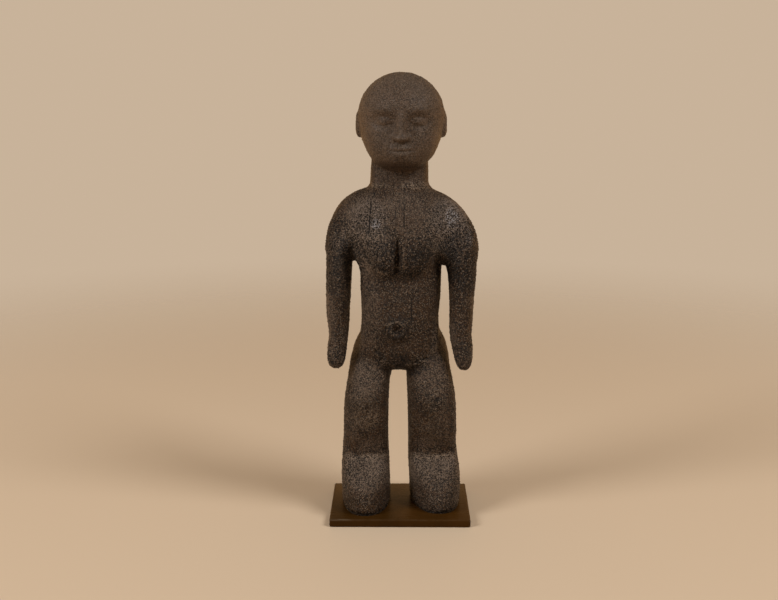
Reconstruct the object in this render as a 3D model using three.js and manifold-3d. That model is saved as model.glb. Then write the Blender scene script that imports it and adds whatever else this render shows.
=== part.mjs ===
// A standing female statuette, carved from one block of dark hardwood, on a thin rectangular base plate.
// Millimetres, +Z up. The origin is the middle of the plate's underside, and the figure faces -Y.
// The figure has its own frame, with the soles at height 0. "left" is the viewer's left, at -X.

import * as THREE from "three";
import { surfaceNet } from "three/addons/libs/surfaceNet.js";
import { SimplifyModifier } from "three/addons/modifiers/SimplifyModifier.js";
import { mergeVertices } from "three/addons/utils/BufferGeometryUtils.js";
import Module from "manifold-3d";

// Base plate
const plateWidth = 140;
const plateDepth = 100;
const plateThickness = 8;
const plateCornerRadius = 2.2;
const plateEasedEdge = 1.25;
const plateEdgeSteps = 2;
const plateCornerSteps = 2;

// Figure: overall sizes
const figureHeight = 434;
const shoulderHalfWidth = 74.5;
const shoulderTop = 326;
const shoulderTilt = 0.045;
const armpitHeight = 249;
const rightFootTurn = 0.07;
const bodyTwist = -0.12;
const navelHeight = 188;
const bodyLineX = -3.5;

// Head: a plain rounded head with the usual proportions of a face
const headX = 0.5;
const headWidth = 83;
const chinHeight = 344;
const headHeight = figureHeight - chinHeight;
const faceY = -43;
const eyeWidth = headWidth / 5;
const eyeLine = chinHeight + headHeight * 0.5;
const browLine = chinHeight + headHeight * 0.6;
const noseBase = chinHeight + headHeight * 0.3;
const mouthLine = noseBase - (noseBase - chinHeight) / 3;
const nose = {
  bridgeHalfWidth: 5,
  tipHalfWidth: 9,
  bridgeRise: 2,
  tipRise: 9,
  undersideSlope: 5,
  foreheadFade: 5,
};

// Surface
const gridStep = 1.5;
const gridMargin = 4;
const gridFront = -60;
const gridBack = 52;
const spareSole = 6;
const figureVertices = 4800;
const farAway = 1000;
const reach = 14;

// Sections of the body, from below upwards. Each has its height and its four limits. Those of a leg
// also say where, between toe and heel, it is widest, and the feet have rounder corners.
const trunkSections = {
  groin: { height: 140, left: -42, right: 42, front: -13.5, back: 34 },
  hips: { height: 153, left: -42, right: 41, front: -21, back: 36 },
  lowerBelly: { height: 167, left: -40.5, right: 40, front: -26, back: 35 },
  navel: { height: 181, left: -39, right: 38.5, front: -28.8, back: 30 },
  waist: { height: 196, left: -37.7, right: 37.6, front: -30, back: 25 },
  belly: { height: 212, left: -38, right: 39.2, front: -30, back: 25 },
  midriff: { height: 228, left: -38.7, right: 40, front: -28, back: 28 },
  ribs: { height: 244, left: -39.1, right: 40.4, front: -25, back: 32 },
  chest: { height: 280, left: -44, right: 44, front: -27, back: 36 },
  collar: { height: 310, left: -36, right: 35, front: -21, back: 32 },
  neckBase: { height: 325, left: -28.4, right: 26.4, front: -18.5, back: 26 },
  neck: { height: 333, left: -28.8, right: 26.8, front: -15, back: 24.5 },
  throat: { height: 346, left: -28.4, right: 26.8, front: -12.5, back: 25 },
  skullBase: { height: 362, left: -26, right: 25, front: -12, back: 24 },
};

const yokeSections = {
  armpits: { height: armpitHeight, left: -71.6, right: 73, front: -26, back: 34 },
  upperArms: { height: 272, left: -71.7, right: 75, front: -27.5, back: 36 },
  shoulders: { height: 296, left: -72, right: 74.2, front: -25, back: 35 },
  shoulderTop: { height: shoulderTop, left: -72.8, right: 73.6, front: -22, back: 31 },
};

const leftArmSections = {
  fingertips: { height: 145, left: -71.3, right: -55.6, front: -22, back: -2 },
  hand: { height: 162, left: -72.4, right: -53.6, front: -24, back: 3 },
  wrist: { height: 180, left: -70.8, right: -51.4, front: -22.5, back: 7 },
  forearm: { height: 200, left: -72.6, right: -50.2, front: -23, back: 12 },
  elbow: { height: 218, left: -73.2, right: -49.4, front: -23.5, back: 16 },
  upperArm: { height: 238, left: -72.8, right: -48.2, front: -24, back: 20 },
  armpit: { height: 258, left: -72.4, right: -47, front: -23.5, back: 24 },
  shoulder: { height: 290, left: -72.2, right: -40, front: -18, back: 24 },
};

const rightArmSections = {
  fingertips: { height: 143, left: 57.2, right: 70.4, front: -22, back: -2 },
  hand: { height: 160, left: 53, right: 72.2, front: -24, back: 3 },
  wrist: { height: 180, left: 48.8, right: 70.9, front: -22.5, back: 7 },
  forearm: { height: 200, left: 48.6, right: 72.2, front: -23, back: 12 },
  elbow: { height: 218, left: 48, right: 73, front: -23.5, back: 16 },
  upperArm: { height: 236, left: 47, right: 74.8, front: -24.5, back: 20 },
  armpit: { height: 256, left: 43.5, right: 74.8, front: -24.5, back: 24 },
  shoulder: { height: 290, left: 38, right: 73.5, front: -18, back: 24 },
};

const leftLegSections = {
  sole: {
    height: -spareSole, left: -59.4, right: -9.8, front: -40.6, back: 35, widest: 16, square: 2.3,
  },
  foot: { height: 14, left: -60, right: -10, front: -41.4, back: 36.5, widest: 16, square: 2.3 },
  toeTop: { height: 27, left: -60, right: -10.4, front: -37.5, back: 35, widest: 14, square: 2.6 },
  footSlope: { height: 41, left: -59.6, right: -11, front: -25, back: 33, widest: 10, square: 3.4 },
  instep: { height: 53, left: -58.8, right: -11.5, front: -12, back: 31, widest: 10, square: 3.4 },
  ankle: { height: 60, left: -58.4, right: -11.8, front: -13, back: 31, widest: 10 },
  calf: { height: 80, left: -57.3, right: -12, front: -20.5, back: 32, widest: 8 },
  shin: { height: 102, left: -56.5, right: -11.8, front: -27, back: 27.5, widest: 1 },
  knee: { height: 115, left: -55.4, right: -11.2, front: -30, back: 26, widest: -1 },
  thigh: { height: 126, left: -53.8, right: -10.8, front: -28, back: 31, widest: 4 },
  upperThigh: { height: 141, left: -51.2, right: -10.2, front: -23, back: 37, widest: 10 },
  hip: { height: 161, left: -46.2, right: -8, front: -16, back: 38, widest: 14 },
};

const rightLegSections = {
  sole: {
    height: -spareSole, left: 10.2, right: 60.8, front: -34.2, back: 36, widest: 22, square: 2.3,
  },
  foot: { height: 14, left: 9.8, right: 61.2, front: -35, back: 38, widest: 22, square: 2.3 },
  toeTop: { height: 27, left: 9.4, right: 60.9, front: -29.5, back: 36.5, widest: 18, square: 2.6 },
  footSlope: { height: 41, left: 8.9, right: 59.6, front: -20, back: 34.5, widest: 13, square: 3.4 },
  instep: { height: 53, left: 8.6, right: 57.9, front: -10, back: 32, widest: 11, square: 3.4 },
  ankle: { height: 60, left: 8.4, right: 57.2, front: -11.5, back: 31.5, widest: 11 },
  calf: { height: 80, left: 8.2, right: 56.7, front: -20, back: 32, widest: 8 },
  shin: { height: 102, left: 8, right: 56, front: -26.5, back: 27.5, widest: 1 },
  knee: { height: 115, left: 7.5, right: 54.8, front: -29.5, back: 26, widest: -1 },
  thigh: { height: 126, left: 7, right: 53.2, front: -27.5, back: 31, widest: 4 },
  upperThigh: { height: 141, left: 6.8, right: 50.2, front: -22.5, back: 37, widest: 10 },
  hip: { height: 163, left: 6, right: 44.2, front: -16, back: 38, widest: 14 },
};

const headSections = {
  jaw: { height: chinHeight - 4, left: headX - 25, right: headX + 25, front: -38, back: 24 },
  mouth: { height: mouthLine, left: headX - 34, right: headX + 34, front: faceY + 1.5, back: 34 },
  nose: { height: 374, left: headX - 38.6, right: headX + 38.6, front: faceY + 2, back: 40 },
  eyes: { height: eyeLine, left: headX - 41.2, right: headX + 41.2, front: faceY + 1.5, back: 45 },
  brow: { height: 404, left: headX - 41.5, right: headX + 41.5, front: faceY - 1.5, back: 46 },
  crown: { height: figureHeight, left: headX - 40, right: headX + 40, front: faceY, back: 44 },
};

// Soft bumps and hollows of the face. Each lies at a distance from the middle, on both sides, and at
// a height. It fades out at its half width and half height, and an arch bends its ends down.
const faceMounds = {
  brow: { from: eyeWidth, height: browLine + 2.5, halfWidth: 17, halfHeight: 6, rise: 1.3, arch: 0.014 },
  socket: { from: eyeWidth, height: eyeLine, halfWidth: 14, halfHeight: 9, rise: -2.6 },
  eye: { from: eyeWidth, height: eyeLine, halfWidth: 9.6, halfHeight: 5.6, rise: 3.4 },
  cheek: { from: 24, height: noseBase + 1, halfWidth: 18, halfHeight: 19, rise: 2.2 },
  nostril: { from: 6.4, height: noseBase + 3.5, halfWidth: 4.6, halfHeight: 5, rise: 3 },
  muzzle: { from: 0, height: mouthLine, halfWidth: 22, halfHeight: 15, rise: 1.8 },
  upperLip: { from: 0, height: mouthLine + 2.8, halfWidth: 14, halfHeight: 4.2, rise: 2.2 },
  lowerLip: { from: 0, height: mouthLine - 3.2, halfWidth: 12, halfHeight: 4.2, rise: 2.2 },
  chin: { from: 0, height: chinHeight + 7, halfWidth: 17, halfHeight: 9, rise: 2.6 },
};

// A solid of superelliptic sections stacked in height, with rounded ends. Negative values are inside.
// The tilt lowers the side at +X, and the turn swings the front towards +X.
function column({ sections, squareness, bottomRound, topRound, endSquareness, tilt = 0, turn = 0 }) {
  const levels = Object.values(sections);
  const heights = levels.map((level) => level.height);
  const limits = levels.flatMap(({ left, right, front, back, widest = (front + back) / 2, square }) => {
    return [left, right, front, back, widest, square ?? squareness];
  });
  const limitsEach = 6;
  const profile = new THREE.CubicInterpolant(heights, limits, limitsEach, new Float32Array(limitsEach));
  const low = heights[0];
  const high = heights[heights.length - 1];

  function value(x, y, upright) {
    const z = upright + tilt * x;
    const level = profile.evaluate(THREE.MathUtils.clamp(z, low, high));
    const [left, right, front, back, widest, square] = level;
    const halfWidth = (right - left) / 2;
    const halfDepth = y < widest ? widest - front : back - widest;
    const middleX = (left + right) / 2 + turn * (widest - y);
    const across = Math.abs(x - middleX) / halfWidth;
    const along = Math.abs(y - widest) / halfDepth;
    const spread = (across ** square + along ** square) ** (1 / square);
    const below = (low + bottomRound - z) / bottomRound;
    const above = (z - high + topRound) / topRound;
    const end = Math.max(below, above, 0);
    const whole = (spread ** endSquareness + end ** endSquareness) ** (1 / endSquareness);
    return (whole - 1) * Math.min(halfWidth, halfDepth);
  }
  return { value, low, high };
}

// An ellipsoid, leaning sideways by an angle about Y.
function ellipsoid({ x, y, z, halfWidth, halfDepth, halfHeight, lean = 0 }) {
  const cosine = Math.cos(lean);
  const sine = Math.sin(lean);
  const smallest = Math.min(halfWidth, halfDepth, halfHeight);
  const largest = Math.max(halfWidth, halfHeight);

  function value(px, py, pz) {
    const dx = px - x;
    const dz = pz - z;
    const across = (dx * cosine - dz * sine) / halfWidth;
    const upward = (dx * sine + dz * cosine) / halfHeight;
    const along = (py - y) / halfDepth;
    return (Math.hypot(across, along, upward) - 1) * smallest;
  }
  return { value, low: z - largest, high: z + largest };
}

// The same form on both sides of a vertical middle plane.
function pair(form, middleX) {
  const value = (x, y, z) => form.value(middleX + Math.abs(x - middleX), y, z);
  return { ...form, value };
}

// Two surfaces joined, or one cut by the other, with a soft fillet where they meet.
function softJoin(first, second, fillet) {
  const overlap = Math.max(fillet - Math.abs(first - second), 0) / fillet;
  return Math.min(first, second) - (overlap * overlap * fillet) / 4;
}

function softCut(body, tool, fillet) {
  return -softJoin(-body, tool, fillet);
}

function bodyForms() {
  const trunk = column({
    sections: trunkSections,
    squareness: 2.8,
    bottomRound: 12,
    topRound: 4,
    endSquareness: 2.5,
    turn: bodyTwist,
  });
  const yoke = column({
    sections: yokeSections,
    squareness: 2.3,
    bottomRound: 13,
    topRound: 66,
    endSquareness: 2.5,
    tilt: shoulderTilt,
  });
  const buttock = ellipsoid({ x: 27, y: 17, z: 152, halfWidth: 21.2, halfDepth: 26, halfHeight: 29 });
  const shoulderBlade = ellipsoid({
    x: 28, y: 26, z: 284, halfWidth: 20, halfDepth: 13, halfHeight: 24, lean: -0.3,
  });
  return [
    { form: trunk, fillet: 1 },
    { form: yoke, fillet: 5 },
    { form: pair(buttock, 0), fillet: 7 },
    { form: pair(shoulderBlade, 0), fillet: 8 },
  ];
}

function limbForms() {
  const arm = { squareness: 2.4, bottomRound: 10, topRound: 30, endSquareness: 2.2, turn: bodyTwist / 2 };
  const leg = { squareness: 2.8, bottomRound: 1, topRound: 14, endSquareness: 2.5 };
  return [
    { form: column({ sections: leftArmSections, ...arm }), fillet: 6 },
    { form: column({ sections: rightArmSections, ...arm }), fillet: 6 },
    { form: column({ sections: leftLegSections, ...leg }), fillet: 6 },
    { form: column({ sections: rightLegSections, turn: rightFootTurn, ...leg }), fillet: 6 },
  ];
}

// A broad chest runs from the shoulders down to two flat breasts, close together over the belly. A
// hollow under each shoulder sets the arm off from the chest.
function chestForms() {
  const chest = ellipsoid({ x: -1, y: -14, z: 274, halfWidth: 47, halfDepth: 20, halfHeight: 42 });
  const breast = ellipsoid({
    x: bodyLineX + 14.5, y: -26, z: 263, halfWidth: 16, halfDepth: 11.5, halfHeight: 22, lean: 0.4,
  });
  const cleft = ellipsoid({
    x: bodyLineX, y: -42, z: 256, halfWidth: 3.2, halfDepth: 10, halfHeight: 22, lean: 0.06,
  });
  const leftHollow = ellipsoid({
    x: -49, y: -30, z: 254, halfWidth: 5, halfDepth: 16, halfHeight: 16, lean: 0.1,
  });
  const rightHollow = ellipsoid({
    x: 40, y: -30, z: 250, halfWidth: 7, halfDepth: 17, halfHeight: 11, lean: -0.5,
  });
  return [
    { form: chest, fillet: 5 },
    { form: pair(breast, bodyLineX), fillet: 5 },
    { form: cleft, fillet: 2, cut: true },
    { form: leftHollow, fillet: 5, cut: true },
    { form: rightHollow, fillet: 5, cut: true },
  ];
}

function navelForms() {
  const boss = ellipsoid({
    x: bodyLineX, y: -29.2, z: navelHeight, halfWidth: 12, halfDepth: 5.5, halfHeight: 11,
  });
  const dent = ellipsoid({
    x: bodyLineX, y: -37, z: navelHeight, halfWidth: 7.2, halfDepth: 6.5, halfHeight: 6.4,
  });
  return [
    { form: boss, fillet: 3 },
    { form: dent, fillet: 1, cut: true },
  ];
}

// The back stays plain: a shallow furrow down the spine and one between the buttocks.
function backForms() {
  const spine = ellipsoid({ x: 0, y: 45, z: 250, halfWidth: 5, halfDepth: 11, halfHeight: 60 });
  const seatCleft = ellipsoid({ x: 0, y: 46, z: 150, halfWidth: 3, halfDepth: 16, halfHeight: 26 });
  return [
    { form: spine, fillet: 4, cut: true },
    { form: seatCleft, fillet: 3, cut: true },
  ];
}

// A smooth bump of height 1, which fades to nothing at its half width and half height.
function mound(across, upward, halfWidth, halfHeight) {
  const distance = (across / halfWidth) ** 2 + (upward / halfHeight) ** 2;
  return distance < 1 ? (1 - distance) ** 2 : 0;
}

// The nose widens and rises from the bridge to the tip, and ends in a short slope above the lip.
function noseRelief(side, z) {
  const { smoothstep, clamp, lerp } = THREE.MathUtils;
  const along = clamp((browLine - z) / (browLine - noseBase), 0, 1);
  const underside = smoothstep(z, noseBase - nose.undersideSlope / 2, noseBase + nose.undersideSlope / 2);
  const forehead = 1 - smoothstep(z, browLine - nose.foreheadFade, browLine + nose.foreheadFade);
  const halfWidth = lerp(nose.bridgeHalfWidth, nose.tipHalfWidth, along);
  const rise = lerp(nose.bridgeRise, nose.tipRise, along);
  return underside * forehead * rise * mound(side, 0, halfWidth, 1);
}

// Height of the face over the smooth skull, for a distance to one side of the middle and a height.
function faceRelief(side, z) {
  let relief = noseRelief(side, z);
  for (const { from, height, halfWidth, halfHeight, rise, arch = 0 } of Object.values(faceMounds)) {
    const across = side - from;
    relief += rise * mound(across, z - height + arch * across ** 2, halfWidth, halfHeight);
  }
  return relief;
}

function headForms() {
  const skull = column({
    sections: headSections,
    squareness: 2.1,
    bottomRound: 19,
    topRound: 42,
    endSquareness: 2.1,
  });
  const carvedSkull = {
    ...skull,
    value: (x, y, z) => {
      const relief = y < 0 ? faceRelief(Math.abs(x - headX), z) : 0;
      return skull.value(x, y, z) - relief;
    },
  };
  const earHeight = (browLine + noseBase) / 2;
  const ear = ellipsoid({
    x: headX + 40, y: 4, z: earHeight, halfWidth: 5, halfDepth: 8, halfHeight: 13,
  });
  const earHollow = ellipsoid({
    x: headX + 46, y: 2, z: earHeight + 1, halfWidth: 3.6, halfDepth: 4.6, halfHeight: 8.4,
  });
  return [
    { form: carvedSkull, fillet: 3 },
    { form: pair(ear, headX), fillet: 2 },
    { form: pair(earHollow, headX), fillet: 1, cut: true },
  ];
}

const carving = [
  ...bodyForms(),
  ...limbForms(),
  ...chestForms(),
  ...navelForms(),
  ...backForms(),
  ...headForms(),
];

// The whole figure as one function of the place: below zero inside the wood, above zero outside.
function figureField(x, y, z) {
  let distance = farAway;
  for (const { form, fillet, cut } of carving) {
    if (z < form.low - reach || z > form.high + reach) {
      continue;
    }
    const other = form.value(x, y, z);
    distance = cut ? softCut(distance, other, fillet) : softJoin(distance, other, fillet);
  }
  return distance;
}

// Each point of the grid is worked out once and remembered, because its eight cells all ask for it.
function remembered(field, corner, counts) {
  const row = counts[0] + 1;
  const layer = row * (counts[1] + 1);
  const values = new Float32Array(layer * (counts[2] + 1)).fill(NaN);
  return (x, y, z) => {
    const across = Math.round((x - corner[0]) / gridStep);
    const along = Math.round((y - corner[1]) / gridStep);
    const upward = Math.round((z - corner[2]) / gridStep);
    const index = across + along * row + upward * layer;
    if (Number.isNaN(values[index])) {
      values[index] = field(x, y, z);
    }
    return values[index];
  };
}

function polygonised(field) {
  const halfWidth = shoulderHalfWidth + gridMargin;
  const corner = [-halfWidth, gridFront, -spareSole - gridMargin];
  const size = [halfWidth * 2, gridBack - gridFront, figureHeight + spareSole + gridMargin * 2];
  const counts = size.map((length) => Math.ceil(length / gridStep));
  const farCorner = corner.map((value, axis) => value + counts[axis] * gridStep);
  const net = surfaceNet(counts, remembered(field, corner, counts), [corner, farCorner]);
  const geometry = new THREE.BufferGeometry();
  geometry.setAttribute("position", new THREE.Float32BufferAttribute(net.positions.flat(), 3));
  geometry.setIndex(net.cells.flat());
  return geometry;
}

const wasm = await Module();
wasm.setup();

function solidOf(geometry) {
  const bare = geometry.clone();
  bare.deleteAttribute("normal");
  bare.deleteAttribute("uv");
  const merged = mergeVertices(bare);
  return new wasm.Manifold(new wasm.Mesh({
    numProp: 3,
    vertProperties: new Float32Array(merged.attributes.position.array),
    triVerts: new Uint32Array(merged.index.array),
  }));
}

function geometryOf(solid) {
  const mesh = solid.getMesh();
  const geometry = new THREE.BufferGeometry();
  geometry.setAttribute("position", new THREE.BufferAttribute(mesh.vertProperties, 3));
  geometry.setIndex(new THREE.BufferAttribute(mesh.triVerts, 1));
  return geometry;
}

// The soles are sawn flat at height 0.
function figureGeometryBeforeThinning() {
  const underSoles = new THREE.BoxGeometry(plateWidth * 2, plateDepth * 2, spareSole * 4);
  underSoles.translate(0, 0, -spareSole * 2);
  return geometryOf(solidOf(polygonised(figureField)).subtract(solidOf(underSoles)));
}

async function figureMesh() {
  const dense = figureGeometryBeforeThinning();
  dense.computeVertexNormals();
  const surplus = dense.attributes.position.count - figureVertices;
  const thinned = await new SimplifyModifier().modify(dense, surplus);
  const material = new THREE.MeshStandardMaterial({ color: 0x3b2c22, roughness: 0.7, metalness: 0 });
  const mesh = new THREE.Mesh(geometryOf(solidOf(thinned)), material);
  mesh.name = "figure";
  mesh.position.z = plateThickness;
  return mesh;
}

function roundedRectangle(width, depth, radius) {
  const shape = new THREE.Shape();
  const x = width / 2 - radius;
  const y = depth / 2 - radius;
  const quarter = Math.PI / 2;
  shape.absarc(x, y, radius, 0, quarter);
  shape.absarc(-x, y, radius, quarter, quarter * 2);
  shape.absarc(-x, -y, radius, quarter * 2, quarter * 3);
  shape.absarc(x, -y, radius, quarter * 3, quarter * 4);
  return shape;
}

function plateMesh() {
  const outline = roundedRectangle(
    plateWidth - plateEasedEdge * 2, plateDepth - plateEasedEdge * 2, plateCornerRadius - plateEasedEdge,
  );
  const geometry = new THREE.ExtrudeGeometry(outline, {
    depth: plateThickness - plateEasedEdge * 2,
    bevelSize: plateEasedEdge,
    bevelThickness: plateEasedEdge,
    bevelSegments: plateEdgeSteps,
    curveSegments: plateCornerSteps,
  });
  geometry.translate(0, 0, plateEasedEdge);
  const material = new THREE.MeshStandardMaterial({ color: 0x2b1c10, roughness: 0.4, metalness: 0.6 });
  const mesh = new THREE.Mesh(geometryOf(solidOf(geometry)), material);
  mesh.name = "base_plate";
  return mesh;
}

const statuette = new THREE.Group();
statuette.add(await figureMesh(), plateMesh());

export default statuette;
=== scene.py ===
"""A standing female figure carved in dark wood, on a thin base plate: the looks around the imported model.

Lengths are in metres, +Z is up and the figure faces -Y. "left" is the viewer's left, at -X.
"""

import itertools
import math

import bmesh
import bpy
import numpy as np
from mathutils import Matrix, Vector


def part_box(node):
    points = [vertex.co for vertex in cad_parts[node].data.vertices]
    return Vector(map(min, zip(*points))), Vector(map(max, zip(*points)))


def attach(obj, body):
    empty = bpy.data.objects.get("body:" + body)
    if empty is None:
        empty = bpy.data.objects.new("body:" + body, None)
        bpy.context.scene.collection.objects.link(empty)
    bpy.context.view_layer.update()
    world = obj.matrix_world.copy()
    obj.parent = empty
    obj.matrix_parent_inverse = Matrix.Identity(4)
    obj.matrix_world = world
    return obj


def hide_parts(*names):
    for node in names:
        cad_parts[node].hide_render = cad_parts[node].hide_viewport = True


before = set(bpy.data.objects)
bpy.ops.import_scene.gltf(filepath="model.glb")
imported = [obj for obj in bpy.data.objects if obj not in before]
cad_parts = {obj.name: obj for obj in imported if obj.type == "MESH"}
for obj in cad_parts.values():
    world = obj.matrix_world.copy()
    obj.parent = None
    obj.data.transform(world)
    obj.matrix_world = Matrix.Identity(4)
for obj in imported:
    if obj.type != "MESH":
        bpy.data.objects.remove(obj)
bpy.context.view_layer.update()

MM = 0.001
BODY = "root"

# Base plate, as the solid has it
PLATE_THICKNESS = 8 * MM
PLATE_CORNER = 2.2 * MM
PLATE_EDGE = 1.1 * MM
PLATE_EDGE_STEPS = 5

# Carving
BODY_LINE_X = -3.5 * MM
FACE_X = 0.5 * MM
EYE_WIDTH = 83 / 5 * MM
EYE_LINE = 397 * MM
NOSE_BASE = 379 * MM
MOUTH_LINE = 370 * MM

# Fine surface of the figure
CURVED_STEPS = 3
VOXEL = 0.92 * MM
FIGURE_TRIANGLES = 192000

SEED = 7


# Meshes

def new_object(name, mesh):
    made = bpy.data.objects.new(name, mesh)
    bpy.context.scene.collection.objects.link(made)
    return made


def mesh_of(name, points, faces):
    mesh = bpy.data.meshes.new(name)
    mesh.from_pydata(points.tolist(), [], faces.tolist())
    mesh.validate()
    return mesh


def apply_modifiers(piece):
    """Turns the piece's modifiers into plain mesh."""
    graph = bpy.context.evaluated_depsgraph_get()
    mesh = bpy.data.meshes.new_from_object(piece.evaluated_get(graph))
    piece.modifiers.clear()
    old = piece.data
    piece.data = mesh
    bpy.data.meshes.remove(old)


def places(mesh):
    values = np.empty(len(mesh.vertices) * 3)
    mesh.vertices.foreach_get("co", values)
    return values.reshape(-1, 3)


def outward(mesh):
    values = np.empty(len(mesh.vertices) * 3)
    mesh.vertex_normals.foreach_get("vector", values)
    return values.reshape(-1, 3)


def set_attribute(mesh, name, values):
    made = mesh.attributes.new(name, "FLOAT", "POINT")
    made.data.foreach_set("value", values.astype(np.float32))


def attribute(mesh, name):
    values = np.empty(len(mesh.vertices), np.float32)
    mesh.attributes[name].data.foreach_get("value", values)
    return values


# Patterns in space

def smoothstep(low, high, value):
    t = np.clip((value - low) / (high - low), 0, 1)
    return t * t * (3 - 2 * t)


def hashed(cells, seed):
    """A repeatable pseudo-random whole number for each cell of a grid."""
    mixed = cells.astype(np.uint64)
    number = mixed[:, 0] * np.uint64(73856093) ^ mixed[:, 1] * np.uint64(19349663)
    number = number ^ mixed[:, 2] * np.uint64(83492791) ^ np.uint64(seed * 2654435761 % 2**32)
    number ^= number >> np.uint64(13)
    number *= np.uint64(0x9E3779B97F4A7C15)
    number ^= number >> np.uint64(31)
    return number


def fractions(number):
    """Three numbers from 0 to 1 out of each whole number."""
    return np.stack([(number >> np.uint64(shift)) % np.uint64(1021) for shift in (8, 22, 36)], 1) / 1021.0


def noise(points, size, seed):
    """Smooth noise, about -1 to 1, whose lumps are as large as size."""
    scaled = points / size + 512
    cell = np.floor(scaled)
    local = scaled - cell
    fade = local ** 3 * (local * (local * 6 - 15) + 10)
    total = np.zeros(len(points))
    for corner in itertools.product((0, 1), repeat=3):
        slope = fractions(hashed(cell + corner, seed)) * 2 - 1
        weight = np.prod(np.where(np.array(corner) == 1, fade, 1 - fade), 1)
        total += weight * np.sum(slope * (local - corner), 1)
    return total * 1.6


def layered(points, size, seed, layers):
    return sum(noise(points, size / 2**k, seed + k) / 2**k for k in range(layers)) / 1.5


def distances(points, size, seed):
    """How far the nearest and the second nearest of many strewn seeds are, in multiples of size."""
    scaled = points / size + 512
    cell = np.floor(scaled)
    nearest = np.full(len(points), 9.0)
    second = np.full(len(points), 9.0)
    for corner in itertools.product((-1, 0, 1), repeat=3):
        other = cell + corner
        distance = np.linalg.norm(other + fractions(hashed(other, seed)) - scaled, axis=1)
        second = np.minimum(second, np.maximum(nearest, distance))
        nearest = np.minimum(nearest, distance)
    return nearest, second


def lumps(points, size, seed):
    """Rounded lumps packed side by side: 1 on top of each and 0 in the seams between them."""
    nearest, second = distances(points, size, seed)
    return smoothstep(0.0, 0.5, second - nearest)


def holes(points, size, seed):
    """Round holes strewn apart: 1 in the middle of each and 0 between them."""
    return smoothstep(0.6, 0.38, distances(points, size, seed)[0])


def patch(points, centre, half_sizes):
    """1 in the middle of an ellipsoid in space, fading smoothly to 0 at its skin."""
    distance = np.sum(((points - np.array(centre) * MM) / (np.array(half_sizes) * MM)) ** 2, 1)
    return smoothstep(0, 0.8, 1 - distance)


def band(value, middle, half_width):
    """1 in the middle of a band, 0 outside it."""
    return smoothstep(0, 1, 1 - np.abs(value - middle) / half_width)


# The carved figure

def smooth_normals(points, triangles, soles):
    """Outward direction at each point. Points on the outline of the soles look sideways."""
    a, b, c = (points[triangles[:, k]] for k in range(3))
    face = np.cross(b - a, c - a)
    total = np.zeros_like(points)
    for k in range(3):
        np.add.at(total, triangles[~soles][:, k], face[~soles])
    under = np.linalg.norm(total, axis=1) < 1e-12
    total[under] = (0, 0, -1)
    edge = np.zeros(len(points), bool)
    edge[triangles[soles]] = True
    total[edge & ~under, 2] = 0
    return total / np.linalg.norm(total, axis=1, keepdims=True)


def curved_mesh(points, triangles, normals, steps):
    """Each flat triangle bent to a cubic patch that follows the normals at its corners."""
    corner = [points[triangles[:, k]] for k in range(3)]
    normal = [normals[triangles[:, k]] for k in range(3)]

    def edge_point(k, m):
        along = np.sum((corner[m] - corner[k]) * normal[k], 1, keepdims=True)
        return (2 * corner[k] + corner[m] - along * normal[k]) / 3

    edges = {(k, m): edge_point(k, m) for k in range(3) for m in range(3) if k != m}
    middle_of_edges = sum(edges.values()) / 6
    centre = middle_of_edges + (middle_of_edges - sum(corner) / 3) / 2
    rows = []
    number = {}
    for i in range(steps + 1):
        for j in range(steps + 1 - i):
            u, v, w = 1 - (i + j) / steps, i / steps, j / steps
            weights = (u, v, w)
            place = 6 * u * v * w * centre
            for k in range(3):
                place = place + weights[k] ** 3 * corner[k]
                for m in range(3):
                    if k != m:
                        place = place + 3 * weights[k] ** 2 * weights[m] * edges[k, m]
            number[i, j] = len(rows)
            rows.append(place)
    small = []
    for i in range(steps):
        for j in range(steps - i):
            small.append((number[i, j], number[i + 1, j], number[i, j + 1]))
            if i + j < steps - 1:
                small.append((number[i + 1, j], number[i + 1, j + 1], number[i, j + 1]))
    stacked = np.stack(rows, 1)
    first = np.arange(len(triangles))[:, None, None] * len(rows)
    faces = (first + np.array(small)[None]).reshape(-1, 3)
    return stacked.reshape(-1, 3), faces


def merged(mesh, distance):
    work = bmesh.new()
    work.from_mesh(mesh)
    bmesh.ops.remove_doubles(work, verts=work.verts, dist=distance)
    bmesh.ops.triangulate(work, faces=work.faces)
    work.to_mesh(mesh)
    work.free()
    return mesh


def even_fine_figure():
    """The solid figure again, with its facets rounded and cut into small, even faces."""
    solid = merged(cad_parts["figure"].data.copy(), 1e-6)
    points = places(solid)
    triangles = np.array([face.vertices[:] for face in solid.polygons])
    low = points[triangles][:, :, 2].max(1) < PLATE_THICKNESS + 0.02 * MM
    curved, faces = curved_mesh(points, triangles, smooth_normals(points, triangles, low), CURVED_STEPS)
    guide = new_object("guide", merged(mesh_of("guide", curved, faces), 1e-6))
    figure = new_object("carved_figure", guide.data.copy())
    remesh = figure.modifiers.new("even", "REMESH")
    remesh.mode = "VOXEL"
    remesh.voxel_size = VOXEL
    relax = figure.modifiers.new("relax", "SMOOTH")
    relax.factor = 0.5
    relax.iterations = 4
    follow = figure.modifiers.new("follow", "SHRINKWRAP")
    follow.target = guide
    follow.wrap_method = "NEAREST_SURFACEPOINT"
    apply_modifiers(figure)
    bpy.data.objects.remove(guide)
    return figure


# Lower edge of the two breasts, as x and height in mm
BREAST_EDGE = ((-37, 268), (-30, 260), (-24, 255), (-18, 252), (-9, 250.5), (1, 250), (15, 249), (20, 251), (29, 268))

# Each crack: its top and bottom height, its x at the top and at the bottom, its half width, in mm
CRACKS = (
    (332, 321, -22.3, -28.1, 0.75),
    (323, 287, -28.1, -30.6, 0.75),
    (323, 294, 3.2, 3.6, 0.55),
    (316, 303, -5.0, -4.6, 0.55),
    (231, 199, 10.4, 10.9, 0.6),
)


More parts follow.
